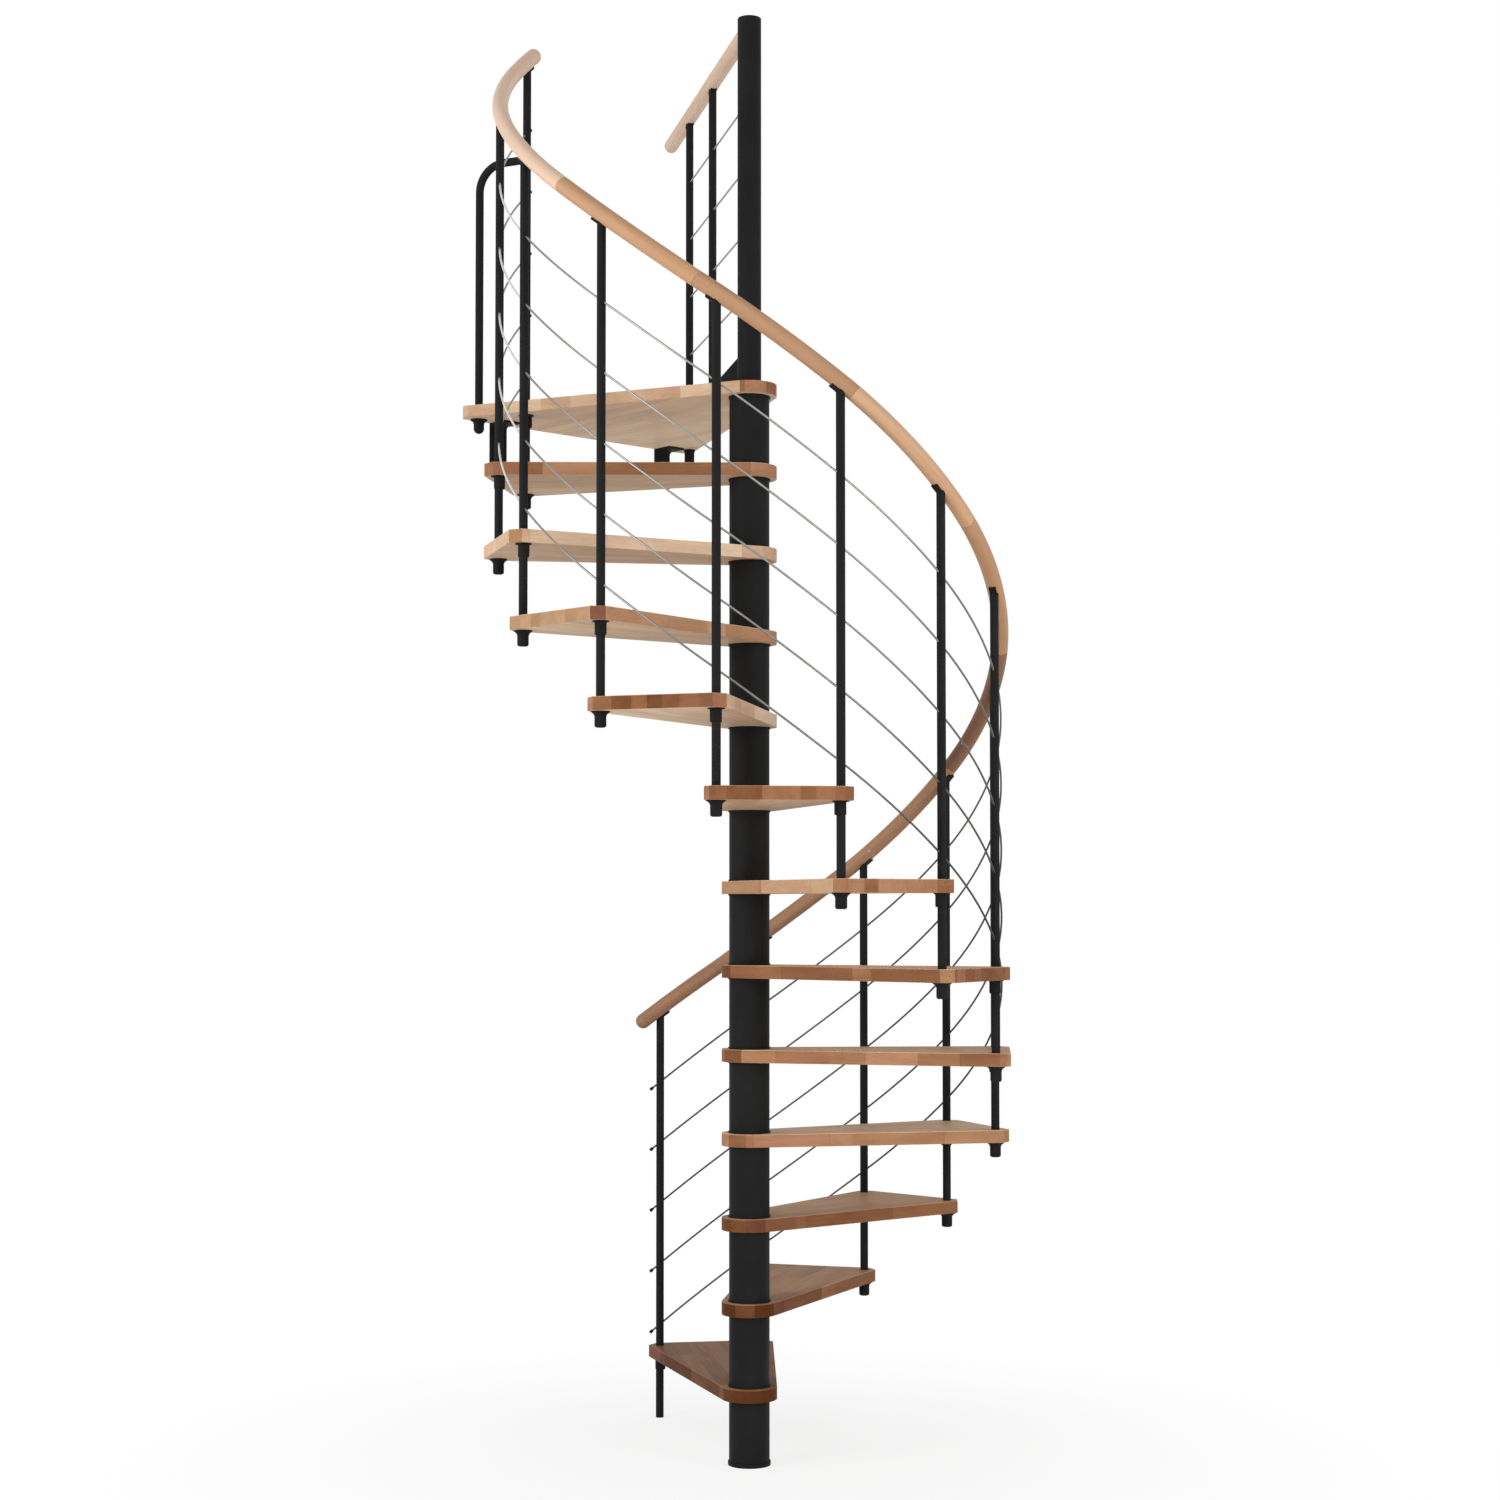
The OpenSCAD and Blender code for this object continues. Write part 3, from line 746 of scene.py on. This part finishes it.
class STAIR_OT_handrail(Building, bpy.types.Operator):
    """Build the curved handrail lengths and the straight landing rail"""

    bl_idname = "stair.handrail"
    bl_label = "Handrails"

    SIDES = 40
    STEP = 0.016
    SCREW_PAST = 0.100
    SCREW_TURNS = (22, 66)
    JOINT_FACE, JOINT_EDGE = 0.0002, 0.0015
    GUARD_TONE, GUARD_STEPS = 0.02, 24
    COPE_PLAY = 0.0003

    def ring_at(self, place):
        """A filled circle of the handrail's size whose face looks along +Z of the place."""
        bpy.ops.object.select_all(action="DESELECT")
        bpy.ops.mesh.primitive_circle_add(vertices=self.SIDES, radius=sizes().rail_d / 2,
                                          fill_type="NGON")
        piece = bpy.context.object
        piece.matrix_world = place
        bpy.ops.object.transform_apply(location=True, rotation=True, scale=True)
        return piece

    def dome(self, piece, centre, out):
        """Rounds the end whose face lies at this centre and looks this way."""
        r, depth, steps = sizes().rail_d / 2, sizes().rail_dome, 7
        with editing(piece, "FACE"):
            pick(piece, "faces", lambda face: len(face.verts) > 4
                 and (face.calc_center_median() - centre).length < r / 4)
            at, size = 0.0, 1.0
            for i in range(1, steps + 1):
                swing = math.pi / 2 * i / (steps + 0.35)
                to, width = depth * math.sin(swing), math.cos(swing)
                bpy.ops.mesh.extrude_region_move(
                    TRANSFORM_OT_translate={"value": out * (to - at)})
                bpy.ops.transform.resize(value=(width / size,) * 3,
                                         center_override=centre + out * to)
                at, size = to, width

    def mark(self, piece, number, tone_and_shade, locate, ends):
        """Stores where each point lies in its length, for the grain and the joint lines."""
        mesh = piece.data
        spots = [locate(v.co) for v in mesh.vertices]
        count = len(spots)
        write(mesh, "rail_at", "FLOAT_VECTOR", "POINT", [c for p in spots for c in p])
        write(mesh, "rail_no", "FLOAT", "POINT", [float(number)] * count)
        write(mesh, "rail_tone", "FLOAT", "POINT", [tone_and_shade] * count)

        def off(face, choose):
            return choose(abs(spots[v][0] - e) for v in face.vertices for e in ends)

        at_joint = [float(off(p, min) < self.JOINT_FACE and off(p, max) < self.JOINT_EDGE)
                    for p in mesh.polygons]
        write(mesh, "rail_joint", "FLOAT", "FACE", at_joint)

    def bent_length(self, number, n0, n1, first, last):
        """One length: a circle spun about its own bend, in the plane of its arc."""
        s = sizes()
        z0, z1 = rail_z(n0), rail_z(n1)
        half = s.turn * (n1 - n0) / 2
        side, drop = s.circle_r * math.sin(half), (z1 - z0) / 2
        chord, inward = math.hypot(side, drop), s.circle_r * (1 - math.cos(half))
        bend = (chord ** 2 + inward ** 2) / (2 * inward)
        span = math.asin(chord / bend)
        gap = s.rail_gap / bend / 2
        low, high = -span + (0 if last else gap), span - (0 if first else gap)
        start = turn_z(low) @ Matrix.Translation((bend, 0, 0)) \
            @ Matrix.Rotation(-math.pi / 2, 4, "X")
        piece = self.ring_at(start)
        with editing(piece, "FACE"):
            bpy.ops.mesh.select_all(action="SELECT")
            bpy.ops.mesh.spin(steps=max(6, round(bend * (high - low) / self.STEP)),
                              angle=low - high, center=(0, 0, 0), axis=(0, 0, 1))
        settle(piece, f"handrail_length_{number:02d}")
        far = max(v.co.y for v in piece.data.vertices)
        if far < bend * math.sin(high) - s.rail_d:
            raise RuntimeError("the handrail length was spun the wrong way")
        for end, open_end in ((low, last), (high, first)):
            centre = Vector((bend * math.cos(end), bend * math.sin(end), 0))
            if open_end:
                sign = 1 if end > 0 else -1
                self.dome(piece, centre, sign * Vector((-math.sin(end), math.cos(end), 0)))
        ease(piece, s.rail_ease, 2, 50.0)
        self.mark(piece, number, RAIL_TONES_AND_SHADE[number - 1],
                  lambda p: (bend * math.atan2(p.y, p.x), math.hypot(p.x, p.y) - bend, p.z),
                  [bend * end for end, open_end in ((low, last), (high, first))
                   if not open_end])
        piece.matrix_world = (turn_z(plan((n0 + n1) / 2))
                              @ Matrix.Translation((0, 0, (z0 + z1) / 2))
                              @ Matrix.Rotation(-math.atan(drop / side), 4, "X")
                              @ Matrix.Translation((s.circle_r - bend, 0, 0)))
        if not first:
            for turned_down in self.SCREW_TURNS:
                lean = math.radians(turned_down)
                self.screws.append(
                    piece.matrix_world @ turn_z(high - self.SCREW_PAST / bend)
                    @ Matrix.Translation((bend, 0, 0))
                    @ Matrix.Rotation(math.atan2(-math.cos(lean), -math.sin(lean)), 4, "Y")
                    @ Matrix.Translation((0, 0, s.rail_d / 2)))
        return fit(settle(piece, piece.name), "beech_rail", "handrail", slot="rail_wood")

    def build(self):
        last = len(RAIL_STOPS) - 1
        self.screws = []
        for i in range(last):
            self.bent_length(i + 1, RAIL_STOPS[i], RAIL_STOPS[i + 1], i == 0, i == last - 1)
        # the straight rail runs from the newel over the guard posts
        s = sizes()
        low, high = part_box("guard_handrail")
        heading, r, begin = s.guard_a, s.rail_d / 2, s.core_d * 0.3
        out = Vector((math.cos(heading), math.sin(heading), 0))
        reach = (high.y - r) / math.sin(heading)
        height = (low.z + high.z) / 2
        start = Matrix.Translation(Vector((0, 0, height)) + out * begin) \
            @ turn_z(heading) @ Matrix.Rotation(math.pi / 2, 4, "Y")
        piece = self.ring_at(start)
        with editing(piece, "FACE"):
            bpy.ops.mesh.select_all(action="SELECT")
            for _ in range(self.GUARD_STEPS):
                bpy.ops.mesh.extrude_region_move(TRANSFORM_OT_translate={
                    "value": out * (reach - begin) / self.GUARD_STEPS})
        settle(piece, "landing_handrail")
        self.dome(piece, Vector((0, 0, height)) + out * reach, out)
        bpy.ops.mesh.primitive_cylinder_add(vertices=96, radius=s.core_d / 2 + self.COPE_PLAY,
                                            depth=s.rail_d * 2, location=(0, 0, height))
        newel = bpy.context.object
        apply_modifier(piece, "BOOLEAN", object=newel, operation="DIFFERENCE", solver="EXACT")
        bpy.data.objects.remove(newel)
        home = turn_z(-heading)
        self.mark(piece, last + 1, self.GUARD_TONE,
                  lambda p: ((home @ p).x, (home @ p).y, p.z - height), [s.core_d / 2])
        fit(settle(piece, piece.name), "beech_rail", "guard_handrail", slot="rail_wood")
        fit(set_out(screw("joint_screw"), self.screws, "handrail_screws"), "bright_zinc")


class STAIR_OT_fittings(Building, bpy.types.Operator):
    """Build the turned collars and end caps, and the screws of the saddles"""

    bl_idname = "stair.fittings"
    bl_label = "Collars, caps and screws"

    BODY = 0.0033
    LEAN = 213.0
    SCREW_DOWN = 0.018

    def flange(self, rim, hole):
        """The rim of a fitting, from its lower edge up and in to the post."""
        return [(-0.0026, rim - 0.0007), (-0.0020, rim), (-0.0005, rim), (0.0, rim - 0.0005),
                (0.0, hole)]

    def flare(self, body, rim):
        """The hollow neck between a fitting's body and its flange."""
        out = rim - body
        return [(-0.0125, body), (-0.0100, body + out * 0.08), (-0.0076, body + out * 0.22),
                (-0.0056, body + out * 0.42), (-0.0040, body + out * 0.66),
                (-0.0031, body + out * 0.86)]

    def collar(self):
        """Collar with a thin flange, its body set off towards the tread's middle."""
        s = sizes()
        hole = s.post_d / 2 + 0.0002
        body, rim = s.post_d / 2 + self.BODY, s.collar_d / 2
        piece = turned("collar", [
            (-s.collar_h, hole), (-s.collar_h, body - 0.0020),
            (-s.collar_h + 0.0007, body - 0.0009), (-s.collar_h + 0.0020, body - 0.0002),
            (-s.collar_h + 0.0040, body),
            (-0.0060, body), (-0.0040, body + 0.0005), (-0.0030, body + 0.0018),
            *self.flange(rim, hole), (-s.collar_h, hole)], ring=True)
        lean = math.radians(self.LEAN)
        with editing(piece):
            pick(piece, "verts", lambda v: v.co.z < -0.0028
                 and math.hypot(v.co.x, v.co.y) > hole + 0.0006)
            bpy.ops.transform.translate(value=(s.collar_shift * math.cos(lean),
                                               s.collar_shift * math.sin(lean), 0))
        return piece

    def cap(self, name, rim, domed=False):
        """End cap whose end is rounded off, or a full dome."""
        s = sizes()
        hole, body = s.post_d / 2 + 0.0002, s.post_d / 2 + self.BODY
        if domed:
            end = [(-s.cap_h + body - body * math.cos(a), max(0.0006, body * math.sin(a)))
                   for a in (math.radians(d) for d in (2, 12, 24, 36, 48, 60, 72, 82, 90))]
        else:
            end = [(-s.cap_h, body - 0.0052), (-s.cap_h + 0.0006, body - 0.0030),
                   (-s.cap_h + 0.0018, body - 0.0013), (-s.cap_h + 0.0034, body - 0.0003),
                   (-s.cap_h + 0.0052, body)]
        return turned(name, [*end, *self.flare(body, rim), *self.flange(rim, hole),
                             (-s.cap_h / 2 - 0.0035, hole)])

    def build(self):
        s = sizes()
        collars = set_out(self.collar(), [on_circle(n, tread_under(n + 1))
                                          for n in range(TREADS + 1)], "collars")
        fit(collars, "moulded_black", "post_collars", slot="black_plastic")
        caps = set_out(self.cap("cap", s.cap_d / 2),
                       [on_circle(n, tread_under(n)) for n in range(1, TREADS + 1)], "end_caps")
        fit(caps, "moulded_black", "post_end_caps", slot="black_plastic")
        # under the landing: the hoop's leg is nearest the viewer, the guard post farthest
        low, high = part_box("guard_post_caps")
        under = tread_under(TREADS + 1)
        hoop = set_out(self.cap("domed", s.cap_d / 2, True), [Matrix.Translation(
            (low.x + s.cap_d / 2, low.y + s.cap_d / 2, under))], "hoop_cap")
        fit(hoop, "moulded_black", "guard_post_caps", slot="black_plastic")
        guard = set_out(self.cap("narrow", s.guard_cap_d / 2), [Matrix.Translation(
            (high.x - s.guard_cap_d / 2, high.y - s.guard_cap_d / 2, under))], "guard_cap")
        fit(guard, "moulded_black", "guard_post_caps", slot="black_plastic")
        # a screw up through the lower end of each saddle
        places = [on_circle(n, rail_z(n)) @ Matrix.Rotation(-rail_slope(n), 4, "X")
                  @ Matrix.Translation((0, self.SCREW_DOWN, -s.rail_d / 2 - s.saddle_t))
                  @ Matrix.Rotation(math.pi, 4, "X") for n in range(TREADS + 1)]
        fit(set_out(screw("saddle_screw", 0.7), places, "saddle_screws"), "powder_coat")


class STAIR_OT_steelwork(Building, bpy.types.Operator):
    """Ease the plates and brackets, and coat all the steel that the frame carries over"""

    bl_idname = "stair.steelwork"
    bl_label = "Steelwork"

    def build(self):
        for node, width, material, slot in (
                ("base_plate", 0.0012, "powder_coat", "black_steel"),
                ("newel_gusset", 0.0009, "powder_coat", "black_steel"),
                ("slab_brackets", 0.0009, "powder_coat", "black_steel"),
                ("newel_cap", 0.0011, "moulded_black", "black_plastic"),
                ("rod_end_caps", 0.0014, "moulded_black", "black_plastic")):
            piece = from_frame(node, node + "_eased")
            ease(piece, width, 2, 35.0)
            fit(settle(piece, node + "_eased"), material, node, slot=slot)
        coats = {"steel_rod": "ground_steel", "black_plastic": "moulded_black"}
        wearing = {p["node"]: p["material_slot"] for p in frame["record"]["subparts"]}
        for node, piece in frame["nodes"].items():
            dress(piece, coats.get(wearing[node], "powder_coat"))


class STAIR_OT_stage(Building, bpy.types.Operator):
    """Set the pale floor, the soft light and the camera"""

    bl_idname = "stair.stage"
    bl_label = "Stage"

    SKY = 0.46
    # name, place, aim, width and height, and power of each lamp
    LAMPS = (("left_lamp", (-3.6, -2.2, 2.6), (0, 0, 1.9), (2.2, 3.2), 100),
             ("right_lamp", (3.4, -2.6, 2.2), (0, 0, 1.7), (2.0, 3.0), 70),
             ("front_lamp", (0.4, -5.6, 3.4), (0, 0, 1.9), (2.6, 2.0), 45),
             ("low_lamp", (0.2, -3.2, 0.2), (0, 0, 2.3), (1.6, 0.8), 30))
    EYE = (0.0, -6.3255, 1.3880)
    TILT = 92.221
    SENSOR, LENS = 36.0, 60.242
    SHIFT = (0.00044, 0.0404)

    def floor(self):
        """A pale floor that keeps the shadow near the staircase and runs out to white."""
        bpy.ops.object.select_all(action="DESELECT")
        bpy.ops.mesh.primitive_circle_add(vertices=96, radius=40.0, fill_type="NGON")
        ground = bpy.context.object
        ground.name = "floor"
        f = Finish("pale_floor")
        x, y, _ = f.split(f.place())
        away = f.math("SQRT", x * x + y * y)
        near = 1.0 - f.step(away, 0.35, 1.9)
        plain = f.node("ShaderNodeBsdfDiffuse", None, {"Color": (0.86, 0.86, 0.86, 1.0)})
        white = f.node("ShaderNodeEmission", None, {"Color": (1, 1, 1, 1), "Strength": 1.0})
        mixed = f.node("ShaderNodeMixShader", None, {
            0: f.seen() * (1.0 - near * 0.2), 1: f.wire(plain), 2: f.wire(white)})
        f.node("ShaderNodeOutputMaterial", None, {"Surface": f.wire(mixed)})
        ground.data.materials.append(f.material)

    def lamp(self, name, at, aim, size, power):
        """A soft rectangular lamp at this place, turned to its aim."""
        bpy.ops.object.light_add(type="AREA", location=at)
        lamp = bpy.context.object
        lamp.name = name
        lamp.data.shape = "RECTANGLE"
        lamp.data.size, lamp.data.size_y = size
        lamp.data.energy = power
        lamp.rotation_euler = (Vector(aim) - Vector(at)).to_track_quat("-Z", "Y").to_euler()

    def sky(self):
        """White to the eye and to gloss, and a weaker plain light on the rest."""
        world = bpy.data.worlds.new("studio")
        bpy.context.scene.world = world
        f = Finish("studio", world)
        back = f.node("ShaderNodeBackground", None, {
            "Color": (1, 1, 1, 1), "Strength": f.seen() * (1.0 - self.SKY) + self.SKY})
        f.node("ShaderNodeOutputWorld", None, {"Surface": f.wire(back)})

    def build(self):
        self.floor()
        self.sky()
        for lamp in self.LAMPS:
            self.lamp(*lamp)
        bpy.ops.object.camera_add(location=self.EYE, rotation=(math.radians(self.TILT), 0.0, 0.0))
        camera = bpy.context.object
        camera.name = "camera"
        camera.data.sensor_width, camera.data.lens = self.SENSOR, self.LENS
        camera.data.shift_x, camera.data.shift_y = self.SHIFT
        bpy.context.scene.camera = camera
        bpy.context.scene.view_settings.view_transform = "Standard"


class STAIR_PT_panel(bpy.types.Panel):
    """The staircase's pieces, sizes and colours"""

    bl_label = "Spiral staircase"
    bl_space_type = "VIEW_3D"
    bl_region_type = "UI"
    bl_category = "Stair"

    def draw(self, context):
        for operator in OPERATORS:
            self.layout.operator(operator.bl_idname)
        for group in (context.scene.stair_sizes, context.scene.stair_colours):
            box = self.layout.box()
            for name in group.__annotations__:
                box.prop(group, name)


OPERATORS = (STAIR_OT_boards, STAIR_OT_handrail, STAIR_OT_fittings, STAIR_OT_steelwork,
             STAIR_OT_stage)
CLASSES = (StairSizes, StairColours, *OPERATORS, STAIR_PT_panel)


def register():
    for item in CLASSES:
        bpy.utils.register_class(item)
    bpy.types.Scene.stair_sizes = PointerProperty(type=StairSizes)
    bpy.types.Scene.stair_colours = PointerProperty(type=StairColours)


def unregister():
    del bpy.types.Scene.stair_colours
    del bpy.types.Scene.stair_sizes
    for item in reversed(CLASSES):
        bpy.utils.unregister_class(item)


def main():
    """Builds everything in order."""
    register()
    for operator in OPERATORS:
        group, name = operator.bl_idname.split(".")
        getattr(getattr(bpy.ops, group), name)()


if __name__ == "__main__":
    main()
